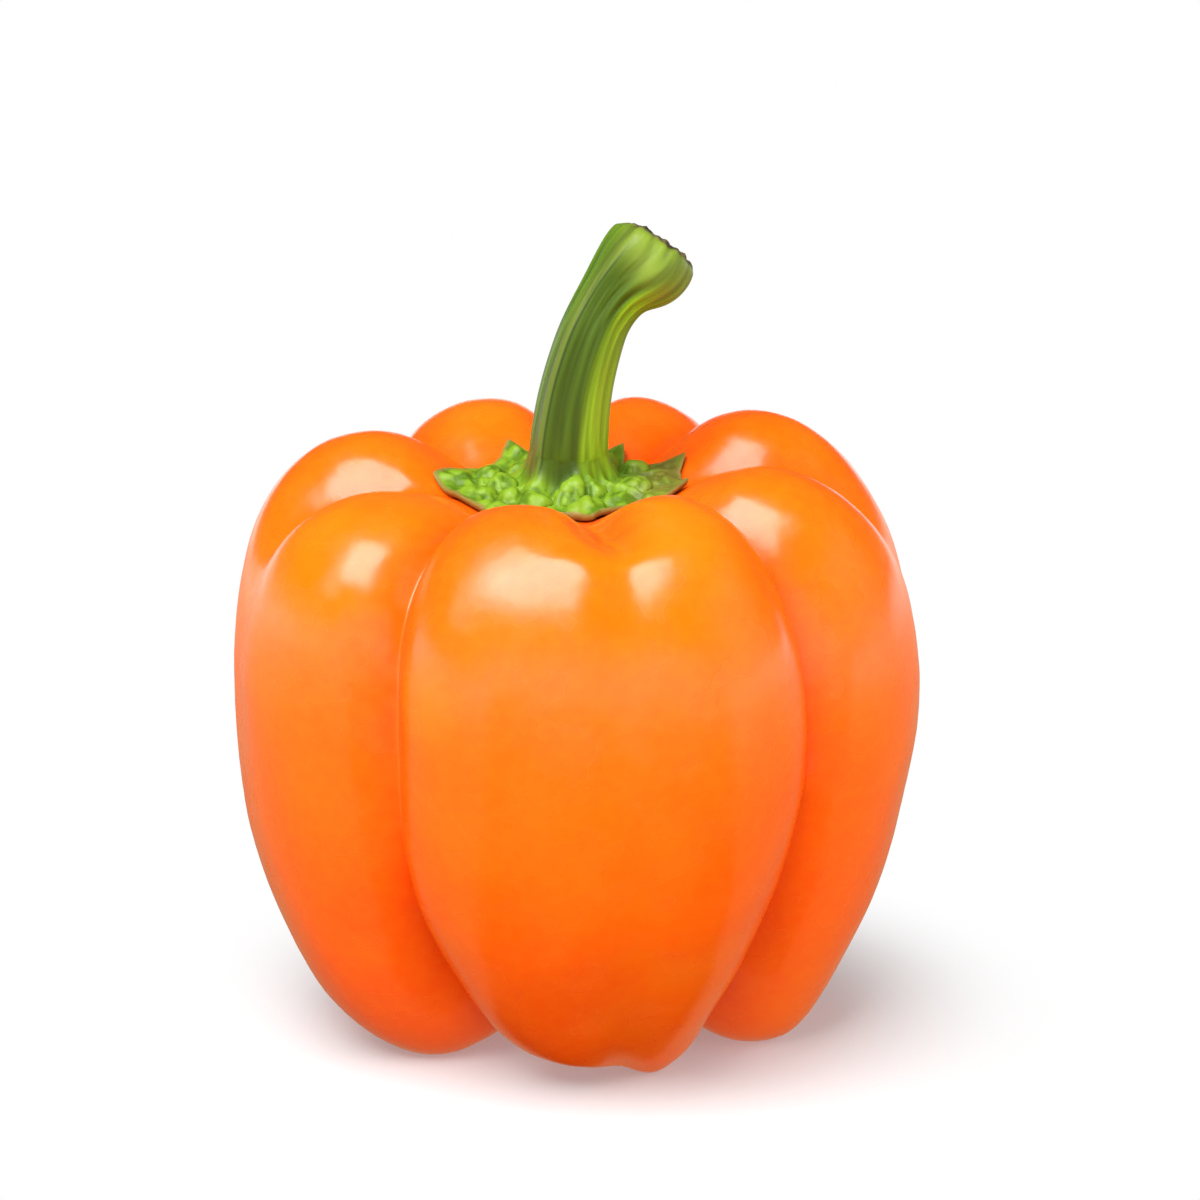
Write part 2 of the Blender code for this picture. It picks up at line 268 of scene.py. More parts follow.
def skin_line(azimuth, t):
    """Radius and height of the skin at each azimuth, t points along the meridian."""
    w = ridge_weight(azimuth, t)[..., None]
    radius, height = np.moveaxis(w * spline(RIDGE_LINE, t) + (1 - w) * spline(GROOVE_LINE, t), -1, 0)
    reach, rise, tuck, lift, sole = ridge_traits(azimuth)
    slimmer = (1 - reach) * near(t, WAIST_AT, WAIST_SPREAD) + tuck * near(t, FOOT_AT, TUCK_SPREAD)
    radius = radius * (1 - slimmer)
    height = height + rise * near(t, CREST_AT, CREST_SPREAD) + lift * near(t, FOOT_AT, LIFT_SPREAD)
    # Never below the sole, with a soft turn there. Where the sole is the ground, 0, the turn is sharp.
    height = (height + sole + np.hypot(height - sole, BLUNTNESS * sole)) / 2
    return radius * MM, height * MM


def sideways(t):
    """How far right of the middle the skin's sections lie, t points along the meridian."""
    crown = CROWN_SHIFT * near(np.maximum(t - CROWN_END, 0), 0, CROWN_FADE)
    foot = FOOT_SHIFT * near(np.minimum(t - FOOT_START, 0), 0, FOOT_FADE)
    return crown + HIP_SHIFT * near(t, HIP_AT, HIP_SPREAD) + foot


def around(azimuth, radius, height, middle=0):
    """Places in metres, from azimuths in degrees about a middle on the X axis."""
    a = np.radians(azimuth)
    return np.stack((radius * np.sin(a) + middle, -radius * np.cos(a), height + 0 * a), axis=-1)


# %% Growing the fruit
FRUIT_MERIDIANS, FRUIT_RINGS = 384, 220


def lobe_azimuth(turn):
    """The azimuth of each meridian, crowded towards the grooves, where the skin bends most."""
    lobe = np.minimum((turn * LOBES).astype(int), LOBES - 1)
    share = turn * LOBES - lobe
    share -= np.sin(4 * np.pi * share) / (8 * np.pi)
    ends = np.array(MAIN_GROOVES + (MAIN_GROOVES[0] + 360,))
    return ends[lobe] + share * (ends[lobe + 1] - ends[lobe])


turns = np.arange(FRUIT_MERIDIANS) / FRUIT_MERIDIANS
fruit_azimuth, fruit_t = np.meshgrid(lobe_azimuth(turns), np.linspace(0, LAST, FRUIT_RINGS + 1))
radius, height = skin_line(fruit_azimuth, fruit_t)
fruit_grid = around(fruit_azimuth, radius, height, sideways(fruit_t))

# %% [markdown]
# ## Setting the fruit on its solid
#
# The solids were moved so that the middle of the whole pepper stands over the origin. The boxes round the
# solid and round the finer fruit say how far.

# %% The way from the rule's middle to the frame's
solid_box = np.array([list(corner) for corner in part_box("fruit")])
own_box = np.array([fruit_grid.min(axis=(0, 1)), fruit_grid.max(axis=(0, 1))])
CENTRE = (solid_box - own_box).mean(axis=0) * (1, 1, 0)
print("moved by mm", in_mm((CENTRE,)), "box differs by mm", in_mm(own_box + CENTRE - solid_box))

# %% [markdown]
# ## The fruit's skin, uneven as it grew
#
# The skin has broad waves and narrower ones that run lengthwise, of some tenths of a millimetre, and a few
# swells and knuckles of up to a millimetre and more. Those stand where the photograph's highlights are.
# All of them bend the reflections, so that the highlights have ragged edges and lie near the real ones.

# %% The fruit's relief
# Swells: azimuth, place along the meridian, spread in degrees, spread along the meridian, height in mm.
SWELLS = (
    (5, 5.5, 8, 0.8, 1.0), (15, 5.7, 6, 0.8, 0.5), (312, 5.8, 8, 0.9, 0.9), (51, 8.6, 3, 0.35, 0.5),
    (330, 9.5, 6, 1.6, 0.25), (-30, 12, 5, 0.8, -0.3), (96, 9, 10, 2, 0.25), (270, 9.5, 10, 2, 0.25),
)
WAVES = 0.3, 15 * MM  # height in mm and size of the broad waves
RIPPLES = 0.12, 4.5 * MM  # of the narrow lengthwise ones
PIMPLES = 0.03, 1.6 * MM  # and of the finest, which are as long as they are wide
RIPPLE_STRETCH = 0.25  # how much slower they change down the fruit than round it
NOISE_SEEDS = (11.3, 4.7, 7.1)  # any numbers: others give other waves


def fruit_relief(azimuth, t, grid):
    """How far the skin stands out, in mm."""
    stretched = grid * (1, 1, RIPPLE_STRETCH)
    height = WAVES[0] * waves(grid, WAVES[1], NOISE_SEEDS[0])
    height += RIPPLES[0] * waves(stretched, RIPPLES[1], NOISE_SEEDS[1])
    height += PIMPLES[0] * waves(grid, PIMPLES[1], NOISE_SEEDS[2])
    for at, along, width, length, rise in SWELLS:
        off = (azimuth - at + 180) % 360 - 180
        height += rise * near(off, 0, width) * near(t, along, length)
    return height


FOOT_KEEP = 1.5 * MM  # below this height the relief fades, so that the feet stay on the ground
relief_out = fruit_relief(fruit_azimuth, fruit_t, fruit_grid) * rising(fruit_grid[..., 2], 0, FOOT_KEEP)
# How deep in a groove each corner lies, kept for the orange skin, which paints shade there.
hollow = 1 - ridge_weight(fruit_azimuth, fruit_t)
fruit_grid = fruit_grid + outward(fruit_grid) * relief_out[..., None] * MM
fruit, ring, meridian = sheet("pepper_fruit", FRUIT_MERIDIANS, FRUIT_RINGS)
column = meridian % FRUIT_MERIDIANS
keep(fruit, "hollow", hollow[ring, column])
carry(fruit, fruit_grid[ring, column] + CENTRE)
print("relief in mm", relief_out.min().round(2), relief_out.max().round(2))

# %% [markdown]
# ## The stem and the calyx
#
# They are one grown body, so they are one sheet as well, and not a tube that is stuck into a plate. Its
# first ring closes in the middle of the cut. The next ones run down the stem's side and out over the calyx,
# turn round its edge, and close along the underside.

# %% The stem's line
STEM_LINE = (
    (-1.3, 0, 75.7, 4.8), (-1.2, 0, 78.0, 4.7), (-0.4, 0.2, 84.2, 4.3), (1.4, 0.5, 90.3, 4.1),
    (2.7, 0.8, 93.1, 3.85), (4.7, 1.3, 96.3, 4.1), (7.2, 2.0, 98.5, 5.7), (9.2, 2.7, 100.2, 5.9),
    (10.2, 3.3, 101.6, 4.9),
)
STEM_RIBS = (-40, 19, 88, 160, 240)  # azimuths of the stem's five soft corners
STEM_RIB_DEPTH = 0.045
CUT_LINE = ((0, -0.5), (0.4, -0.35), (0.8, 0.05), (1, 0))  # the cut face: share of its radius, height mm
LOOK_AHEAD = 0.05  # how far along its line, in points, the stem's direction is read


def corner(azimuth):
    """1 at the stem's soft corners and -1 half-way between them."""
    return np.cos(2 * np.pi * between(STEM_RIBS, azimuth)[1])


def stem_point(azimuth, share, out=1, height=0):
    """Places on the stem's side, share of the way from foot to cut, or on the cut with out below 1."""
    end = len(STEM_LINE) - 1
    t = share * end
    line = spline(STEM_LINE, t) * MM
    after = spline(STEM_LINE, np.minimum(t + LOOK_AHEAD, end))
    before = spline(STEM_LINE, np.maximum(t - LOOK_AHEAD, 0))
    ahead = (after - before)[..., :3]
    along = ahead / np.linalg.norm(ahead, axis=-1, keepdims=True)
    right = np.cross((0, 1, 0), along)
    right /= np.linalg.norm(right, axis=-1, keepdims=True)
    reach = (line[..., 3] * (1 + STEM_RIB_DEPTH * corner(azimuth)) * out)[..., None]
    a = np.radians(azimuth)[..., None]
    side = reach * np.sin(a) * right - reach * np.cos(a) * np.cross(along, right)
    return line[..., :3] + side + np.asarray(height)[..., None] * MM * along


# %% The calyx's outline, lumps and ribs
# The outline of its plate as (azimuth, radius mm), pointed where a tooth is.
CALYX_OUTLINE = (
    (3, 11.8), (10, 12.6), (15, 14.9), (21, 13.4), (34, 13.2), (48, 14.2), (64, 14.8), (79, 16.0),
    (92, 14.8), (99, 14.8), (109, 16.2), (115, 13.6), (126, 12.2), (142, 12.4), (151, 15.6),
    (159, 12.6), (171, 12.0), (184, 13.8), (192, 12.0), (198, 12.6), (206, 15.8), (216, 13.4),
    (234, 12.4), (250, 13.5), (266, 16.2), (278, 14.4), (296, 13.9), (314, 13.6), (323, 15.2),
    (332, 13.0), (350, 12.2),
)
# The swollen lumps on it: azimuth, radius, size and height in mm.
CALYX_LUMPS = (
    (5, 7.0, 2.5, 2.3), (30, 7.0, 1.9, 1.9), (-24, 8.8, 2.4, 1.7), (-46, 9.0, 1.7, 1.5),
    (-70, 11.2, 2.3, 1.2), (-84, 7.6, 2.0, 1.6), (249, 9.7, 2.2, 1.4), (222, 7.9, 1.9, 1.5),
    (15, 11.0, 2.6, 1.3), (42, 10.6, 2.6, 1.6), (74, 9.4, 2.1, 1.5), (110, 9.2, 2.0, 1.8),
    (92, 12.6, 2.4, 1.1), (150, 9.2, 2.2, 1.5), (176, 8.2, 1.9, 1.5), (200, 10.4, 2.2, 1.4),
    (264, 12.8, 1.7, 0.8), (-45, 12.0, 1.8, 0.9), (130, 7.4, 1.5, 1.2),
)
LUMP_ROUNDNESS = 0.7  # lower is a lump with steeper sides
# Its ribs, from the stem's corners out to the edge: azimuth, width and height in mm.
CALYX_RIBS = (
    (56, 0.9, 1.3), (266, 0.9, 0.6), (323, 0.9, 0.6), (151, 0.8, 0.8), (206, 0.8, 0.8), (100, 0.8, 0.9),
)
RELIEF_FADE = 5  # lumps and ribs keep their height till near the edge, the more so the higher this is
CALYX_THICKNESS = (1.7 * MM, 0.8 * MM)  # at the collar and at the edge
COLLAR_FLARE = (0.5 * MM, 0.6 * MM)  # how far the stem's foot flares out, and how much further at a corner
FLARE_FADE = 2  # the flare ends at the edge, the more suddenly the higher this is
CALYX_EDGE = 0.3 * MM  # how far the underside stays inside the edge
GAP = 0.35 * MM  # between the calyx and the crown that it lies on
SEAT_POINTS = 60  # how many points of the crown the calyx is laid on, along each azimuth


def outline(azimuth):
    """The radius of the calyx's edge."""
    azimuths, radii = np.transpose(CALYX_OUTLINE)
    return np.interp(azimuth, azimuths, radii, period=360) * MM


def relief(azimuth, radius):
    """How far the lumps and ribs stand out, in mm at a radius in mm, with creases where they meet."""
    height = 0 * radius
    for at, middle, size, rise in CALYX_LUMPS:
        away = np.cos(np.radians(azimuth - at))
        apart = (radius**2 + middle**2 - 2 * radius * middle * away) / size**2
        height = np.maximum(height, rise * np.clip(1 - apart, 0, 1) ** LUMP_ROUNDNESS)
    for at, width, rise in CALYX_RIBS:
        off = np.radians((azimuth - at + 180) % 360 - 180)
        height = np.maximum(height, rise * near(radius * off, 0, width))
    return height


def crown_height(azimuth, radius):
    """The fruit's height under the calyx, at each azimuth of a row and each radius of a column of it."""
    across, t = np.meshgrid(azimuth[0], np.linspace(0, CREST_AT, SEAT_POINTS))
    radii, shade_by_height = skin_line(across, t)
    columns = range(radius.shape[1])
    return np.stack([np.interp(radius[:, i], radii[:, i], shade_by_height[:, i]) for i in columns], axis=1)


# %% The rule of the calyx
def calyx_point(azimuth, share):
    """Places on the calyx's upper face, from the stem's foot, 0, to its edge, 1."""
    foot = stem_point(azimuth, 0 * share)
    edge = around(azimuth, outline(azimuth), 0, CROWN_SHIFT)
    spot = foot + (edge - foot) * share[..., None]
    radius = np.hypot(spot[..., 0] - CROWN_SHIFT, spot[..., 1])
    thickness = CALYX_THICKNESS[0] + (CALYX_THICKNESS[1] - CALYX_THICKNESS[0]) * share
    swell = relief(azimuth, radius / MM) * MM * (1 - share**RELIEF_FADE)
    height = crown_height(azimuth, radius) + GAP + thickness + swell
    flare = COLLAR_FLARE[0] + COLLAR_FLARE[1] * np.maximum(0, corner(azimuth))
    from_foot = np.hypot(spot[..., 0] - foot[..., 0], spot[..., 1] - foot[..., 1])
    lift = np.exp(-from_foot / flare) * (1 - share**FLARE_FADE)
    spot[..., 2] = height + (foot[..., 2] - height) * lift
    return spot


def underside_point(azimuth, share):
    """Places on the calyx's underside, from its middle, 0, to its edge, 1."""
    radius = (outline(azimuth) - CALYX_EDGE) * share
    return around(azimuth, radius, crown_height(azimuth, radius) + GAP, CROWN_SHIFT)


# %% Growing the green piece
GREEN_MERIDIANS = 384
CUT_SHARES = np.linspace(0, 1, 15)[:-1]
STEM_SHARES = np.linspace(1, 0, 100)[:-1]
CALYX_SHARES = np.linspace(0, 1, 88)
UNDER_SHARES = np.linspace(1, 0, 10)
GREEN_RINGS = len(CUT_SHARES) + len(STEM_SHARES) + len(CALYX_SHARES) + len(UNDER_SHARES) - 1


def grid(shares):
    """Azimuths and shares of the rings that have these shares, one row for each ring."""
    azimuth = np.arange(GREEN_MERIDIANS) * 360 / GREEN_MERIDIANS
    return np.meshgrid(azimuth, shares)


RIM_ROUND, RIM_START = 0.16, 0.93  # how much narrower the stem's rim is worn, and from where on
azimuth, out = grid(CUT_SHARES)
cut_rise = np.interp(out, *np.transpose(CUT_LINE))
stem_azimuth, stem_share = grid(STEM_SHARES)
calyx_azimuth, calyx_share = grid(CALYX_SHARES)
worn = 1 - RIM_ROUND * np.clip((stem_share - RIM_START) / (1 - RIM_START), 0, 1) ** 2
rows = (
    stem_point(azimuth, 1 + 0 * out, out * (1 - RIM_ROUND), cut_rise),
    stem_point(stem_azimuth, stem_share, worn),
    calyx_point(calyx_azimuth, calyx_share),
    underside_point(*grid(UNDER_SHARES)),
)
green_grid = np.vstack(rows)

# %% [markdown]
# ## The green skin's relief
#
# The stem is finely ribbed along its length, most of all in the bend under its head. The calyx is covered
# with larger and smaller grains, and the cut has dried to a rough cork. Bump in a material could draw all
# of this, but it would leave the outline smooth, so the corners themselves are moved.

# %% The green piece's relief
STREAKS = 0.13, 0.9 * MM  # height in mm and size of the stem's lengthwise ribs
STREAK_REACH = 4.1 * MM  # the radius at which that size is measured
STREAK_LENGTH = 2.5  # how many ribs follow each other along the stem
NECK_AT, NECK_SPREAD, NECK_MORE = 0.62, 0.14, 1.2  # where the bend is, and how much the ribs deepen there
GRAINS = ((0.42, 3.4 * MM), (0.09, 1.2 * MM))  # height in mm and size of the calyx's grains
CRUMPLE = ((0.4, 2.6 * MM), (0.16, 1.0 * MM))  # and of the crumples between them
GRAINS_BEGIN = 0.02, 0.2  # shares of the way out over the calyx between which they grow to full height
CORK = 0.35, 0.9 * MM  # height in mm and size of the cork's lumps
CORK_BEGIN = 0.955, 0.985  # shares of the stem between which its skin turns to cork
STREAK_SEEDS, GRAIN_SEED, CRUMPLE_SEED, CORK_SEED = (3.2, 8.8), 5.5, 9.1, 1.7
# The grains and the crumples make the calyx brighter where they stand high, and darker in the creases
# between them: painted shade.
TONES = (0.4, 0.15, 0.6, 0.5)  # what the grains and the crumples each add to the calyx's brightness
TONE_LEVEL = 0.25


def lengthwise(azimuth, share):
    """Places that run round a circle as the stem's skin does, and slowly along it."""
    a = np.radians(azimuth)
    across, over = STREAK_REACH * np.cos(a), STREAK_REACH * np.sin(a)
    return np.stack((across, over, share * STREAK_LENGTH * MM), axis=-1)


circle = lengthwise(stem_azimuth, stem_share)
stem_ribs = waves(circle, STREAKS[1], STREAK_SEEDS[0]) + waves(circle, STREAKS[1] / 2, STREAK_SEEDS[1]) / 2
stem_relief = STREAKS[0] * stem_ribs * (1 + NECK_MORE * near(stem_share, NECK_AT, NECK_SPREAD))
flat = rows[2] * (1, 1, 0)
tops = [cells(flat, size, GRAIN_SEED + i) for i, (rise, size) in enumerate(GRAINS)]
grainy = rising(calyx_share, *GRAINS_BEGIN) * (1 - calyx_share**RELIEF_FADE)
crumples = [waves(flat, size, CRUMPLE_SEED + i) for i, (rise, size) in enumerate(CRUMPLE)]
calyx_relief = grainy * sum(rise * (top - 0.5) for (rise, size), top in zip(GRAINS, tops))
calyx_relief = calyx_relief + grainy * sum(rise * wave for (rise, size), wave in zip(CRUMPLE, crumples))
none = 0 * rows[3][..., 0]
cork_share = np.vstack((1 + 0 * out, rising(stem_share, *CORK_BEGIN), 0 * calyx_share, none))
cork_relief = CORK[0] * waves(green_grid, CORK[1], CORK_SEED) * cork_share
green_relief = np.vstack((0 * out, stem_relief, calyx_relief, none)) + cork_relief
green_grid = green_grid + outward(green_grid) * green_relief[..., None] * MM
# How high each corner stands on the grains and crumples, which the green skin turns into painted shade in
# the creases.
calyx_crease_shade = TONE_LEVEL + sum(tone * layer for tone, layer in zip(TONES, tops + crumples))

# %% [markdown]
# ## Growing the green piece
#
# The materials will ask four things of each corner: how corky it is, how far out on the calyx, how high on
# a grain or rib, and how far along the stem. The green skin shows the height on a grain or rib as streaks
# and as painted shade in the creases. They are kept with the corners before the sheet is closed.

# %% Notes for the materials, and the piece itself
green, ring, meridian = sheet("pepper_stem_and_calyx", GREEN_MERIDIANS, GREEN_RINGS)
column = meridian % GREEN_MERIDIANS
kept = {
    "cork": cork_share,
    "edge": np.vstack((0 * out, 0 * stem_share, calyx_share, none + 1)),
    "streaks_and_crease_shade": np.vstack((0 * out, 0.5 + 0.5 * stem_ribs, calyx_crease_shade, none + 0.5)),
    "along": np.vstack((1 + 0 * out, stem_share, 0 * calyx_share, none)),
}
for name, values in kept.items():
    keep(green, name, values[ring, column])
carry(green, green_grid[ring, column] + CENTRE)

# %% [markdown]
# ## The camera
#
# The picture looks a little down on the pepper from about a metre away. The lens is worked out from the
# scale that the picture has at the pepper, so that the pepper fills the frame as it should.

# %% Camera
ELEVATION = math.radians(18)
DISTANCE = 0.9
PICTURE_WIDTH = 1200
MM_PER_PIXEL = 0.1246
AIM = Vector((0.0030, 0, 0.0566))

camera = bpy.data.objects.new("camera", bpy.data.cameras.new("camera"))
bpy.context.scene.collection.objects.link(camera)
backwards = Vector((0, -math.cos(ELEVATION), math.sin(ELEVATION)))
camera.location = AIM + backwards * DISTANCE
camera.rotation_mode = "QUATERNION"
camera.rotation_quaternion = (-backwards).to_track_quat("-Z", "Y")
camera.data.lens = camera.data.sensor_width * DISTANCE / (PICTURE_WIDTH * MM_PER_PIXEL * MM)
bpy.context.scene.camera = camera
print("lens in mm", round(camera.data.lens, 1))

# %% [markdown]
# ## Writing materials as sums
#
# A material is a graph of nodes, and most of it is arithmetic. A small class wraps a socket, so that
# adding or multiplying two of them adds the Math node that does it. Every other node comes from one method.
# The room's light is such a graph too.

# %% Shader arithmetic
class Graph:
    """A tree of shader nodes, and the one way to add a node to it."""

    def __init__(self, tree):
        self.tree = tree

    def feed(self, socket, value):
        if isinstance(value, Value):
            self.tree.links.new(value.socket, socket)
        else:
            socket.default_value = value

    def node(self, kind, inputs=None, output=0, stops=None, **settings):
        made = self.tree.nodes.new(kind)
        for name, setting in settings.items():
            setattr(made, name, setting)
        for i, (at, colour) in enumerate(stops or ()):
            if i > 1:
                made.color_ramp.elements.new(at)
            made.color_ramp.elements[i].position = at
            made.color_ramp.elements[i].color = colour
        for name, value in (inputs or {}).items():
            self.feed(made.inputs[name], value)
        return Value(self, made.outputs[output])


class Finish(Graph):
    """A material."""

    def __init__(self, name):
        self.material = bpy.data.materials.new(name)
        self.material.use_nodes = True
        super().__init__(self.material.node_tree)
        self.shader = self.tree.nodes["Principled BSDF"]

    def set(self, **values):
        """Feeds the shader: Base_Color stands for the socket called Base Color."""
        for name, value in values.items():
            self.feed(self.shader.inputs[name.replace("_", " ")], value)


class Value:
    """A socket's value, in sums."""

    def __init__(self, graph, socket):
        self.graph = graph
        self.socket = socket

    def math(self, operation, *others):
        return self.graph.node("ShaderNodeMath", dict(enumerate((self, *others))), operation=operation)

    def __add__(self, other):
        return self.math("ADD", other)

    def __mul__(self, other):
        return self.math("MULTIPLY", other)

    __radd__ = __add__
    __rmul__ = __mul__

    def step(self, low, high, start=0, end=1):
        """Start below low, end above high, and a soft step between them."""
        inputs = {"Value": self, "From Min": low, "From Max": high, "To Min": start, "To Max": end}
        return self.graph.node("ShaderNodeMapRange", inputs, interpolation_type="SMOOTHSTEP")


def blend(graph, share, first, second, blend_type="MIX"):
    """The first colour where share is 0 and the second where it is 1."""
    inputs = {0: share, 6: first, 7: second}
    return graph.node("ShaderNodeMix", inputs, output=2, data_type="RGBA", blend_type=blend_type)


# %% [markdown]
# ## Light
#
# A glossy skin shows the room that it stands in. This one shows a large soft light above and to the left, a
# weaker one beside it, a bright room behind and a dark one in front. So there are two soft panels, and the
# room's own light grows from front to back, and a little to the right. Two more panels light the right
# flank and the front low down, and no reflection shows them. The camera sees plain white behind it all.

# %% The panels
ROOM_MIDDLE = Vector((0, 0, 0.05))
PANEL_AT, PANEL_SIZE, PANEL_RADIANCE = (-0.17, -0.29, 0.68), (0.62, 0.68), 9.5
SIDE_AT, SIDE_SIZE, SIDE_RADIANCE = (-0.62, -0.25, 0.58), (0.36, 0.7), 2.2
FILL_AT, FILL_SIZE, FILL_RADIANCE = (0.75, -0.15, 0.35), (0.8, 0.7), 2.4
LOW_AT, LOW_SIZE, LOW_RADIANCE = (0, -0.7, 0.04), (1.5, 0.5), 3.6


def softbox(name, place, size, radiance):
    """An area light at a place, that looks at the pepper's middle and is as bright as radiance says."""
    light = bpy.data.lights.new(name, "AREA")
    light.shape = "RECTANGLE"
    light.size, light.size_y = size
    light.energy = radiance * math.pi * size[0] * size[1]
    lamp = bpy.data.objects.new(name, light)
    bpy.context.scene.collection.objects.link(lamp)
    lamp.location = place
    lamp.rotation_mode = "QUATERNION"
    lamp.rotation_quaternion = (Vector(place) - ROOM_MIDDLE).to_track_quat("Z", "Y")
    return lamp


softbox("panel_overhead", PANEL_AT, PANEL_SIZE, PANEL_RADIANCE)
softbox("panel_on_the_left", SIDE_AT, SIDE_SIZE, SIDE_RADIANCE)
fills = (
    softbox("fill_on_the_right", FILL_AT, FILL_SIZE, FILL_RADIANCE),
    softbox("fill_low_in_front", LOW_AT, LOW_SIZE, LOW_RADIANCE),
)
for lamp in fills:
    lamp.visible_glossy = False
    lamp.visible_camera = False

# %% The room
ROOM_DARK, ROOM_BRIGHT, ROOM_RIGHT = 0.0, 1.2, 0.5
# How far backward or to the right a direction points where the light starts to change, and where it ends.
BACK_GROWS, SIDE_GROWS, SIDE_FADES = (-0.2, 0.7), (0.5, 0.95), (0.2, 0.7)
world = bpy.data.worlds.new("white_room")
world.use_nodes = True
room = Graph(world.node_tree)
direction = room.node("ShaderNodeTexCoord", output="Generated")
split = room.node("ShaderNodeSeparateXYZ", {0: direction})
backward = Value(room, split.socket.node.outputs["Y"])
rightward = Value(room, split.socket.node.outputs["X"])
beside = rightward.step(*SIDE_GROWS, 0, ROOM_RIGHT) * backward.step(*SIDE_FADES, 1, 0)
shining = backward.step(*BACK_GROWS, ROOM_DARK, ROOM_BRIGHT) + beside
seen = shining.math("MAXIMUM", room.node("ShaderNodeLightPath", output="Is Camera Ray"))
room.feed(world.node_tree.nodes["Background"].inputs["Strength"], seen)
bpy.context.scene.world = world
bpy.context.scene.view_settings.view_transform = "Standard"

# %% [markdown]
# ## The table
#
# The pepper stands on a white table that glows a little, as a product table lit from below does: that
# keeps its shadow pale. For the camera it turns plain white a few centimetres out. The pepper is lit by
# another table than the camera sees: its glow is weak and orange close by, as a table is under an orange
# fruit, and grows and turns white farther out. A dark card lies in front of the pepper, fanning out from
# it, where only reflections meet it: it keeps the front of the skin deep in colour.

# %% Floor
FLOOR_SIZE = 8
bpy.ops.object.select_all(action="DESELECT")
bpy.ops.mesh.primitive_plane_add(size=FLOOR_SIZE, location=(0, 0, 0))
floor = bpy.context.object
floor.name = "floor"

TABLE_WHITE, TABLE_GLOW = 0.5, 0.2
TABLE_FADE = 0.03, 0.065  # metres from the pepper's middle between which it turns plain white
WHITE = (1, 1, 1, 1)
GLOW, GLOW_SPREAD = (0.5, 1.6), (0.05, 0.6)  # what the table sheds near the pepper and far from it
GLOW_NEAR_COLOUR = (1, 0.7, 0.42, 1)  # the pepper's own colour on the table
table = Finish("white_table")
table.set(Base_Color=(TABLE_WHITE, TABLE_WHITE, TABLE_WHITE, 1), Roughness=1.0, Specular_IOR_Level=0.0)
table.set(Emission_Color=WHITE, Emission_Strength=TABLE_GLOW)
spot = table.node("ShaderNodeTexCoord", output="Object")
away = table.node("ShaderNodeVectorMath", {0: spot}, output="Value", operation="LENGTH")
plain = table.node("ShaderNodeEmission", {"Color": WHITE, "Strength": 1.0})
near_pepper = Value(table, table.shader.outputs[0])
faded = table.node("ShaderNodeMixShader", {0: away.step(*TABLE_FADE), 1: near_pepper, 2: plain})
glow = away.step(*GLOW_SPREAD, *GLOW)
tint = blend(table, away.step(*GLOW_SPREAD), GLOW_NEAR_COLOUR, WHITE)
shed = table.node("ShaderNodeEmission", {"Color": tint, "Strength": glow})
by_camera = table.node("ShaderNodeLightPath", output="Is Camera Ray")
both = table.node("ShaderNodeMixShader", {0: by_camera, 1: shed, 2: faded})
table.feed(table.tree.nodes["Material Output"].inputs["Surface"], both)
table.material.cycles.emission_sampling = "NONE"  # so that its glow doesn't reach past the dark card
floor.data.materials.append(table.material)

# %% The dark card
CARD_NEAR, CARD_FAR, CARD_LEFT, CARD_RIGHT = -0.02, -1.2, -0.9, 1.6
bpy.ops.object.select_all(action="DESELECT")
bpy.ops.mesh.primitive_plane_add(size=1, location=(0, 0, 0))
card = bpy.context.object
card.name = "dark_card"
CARD_HEIGHT = 0.2 * MM
for vertex in card.data.vertices:
    side = CARD_LEFT if vertex.co.x < 0 else CARD_RIGHT
    front = CARD_FAR if vertex.co.y < 0 else CARD_NEAR
    vertex.co = (side * front / CARD_FAR, front, CARD_HEIGHT)
for ray in ("camera", "diffuse", "shadow", "transmission"):
    setattr(card, "visible_" + ray, False)
dark = Finish("dark_card")
dark.set(Base_Color=(0, 0, 0, 1), Specular_IOR_Level=0.0)
card.data.materials.append(dark.material)

# %% [markdown]
# ## The orange skin
#
# A ripe pepper's skin is a clear waxy layer over orange flesh. Its colour is set by height: it is redder
# and darker at the feet, and less yellow high on the shoulders than on the flanks, which is painted shade.
# Down in the grooves it is redder and darker too, which is painted shade in the grooves. Over that lie soft
# yellower and redder patches, where it ripened sooner or later. The redder ones are strongest low down,
# where they add to the painted shade. Close to, it is finely mottled, and its gloss changes a little from
# place to place. One shader stands for both layers.

# %% Orange skin
# Colours by height: the feet are redder and darker than the flanks, and the shoulders less yellow. This is
# painted shade.
SHOULDER_SHADED = (0.9, 0.098, 0.001, 1)
FLANK = (0.9, 0.112, 0.001, 1)
FOOT_SHADED = (0.94, 0.09, 0.001, 1)
GOLDEN = (0.92, 0.165, 0.002, 1)
# A redder, darker orange: the colour of the random blushes, and of the painted shade low down and in the
# grooves.
RED_BLUSH_AND_SHADE = (0.87, 0.06, 0.001, 1)
MOTTLED_COLOUR = (0.95, 0.2, 0.005, 1)
FRUIT_TOP = 0.08  # the height in metres that the colours are spread over
GOLDEN_AT = (-0.0176, -0.033, 0.0546)  # the middle of a yellower patch on the left of the front
GOLDEN_REACH, GOLDEN_SHARE = (2 * MM, 8 * MM), 0.6
# How many hills of each noise there are to a metre, and how much detail the finest ones have.
PER_METRE = {"patches": 42, "blushes": 75, "mottling": 620, "gloss": 160, "pores": 900}
FINE_DETAIL = 3.0
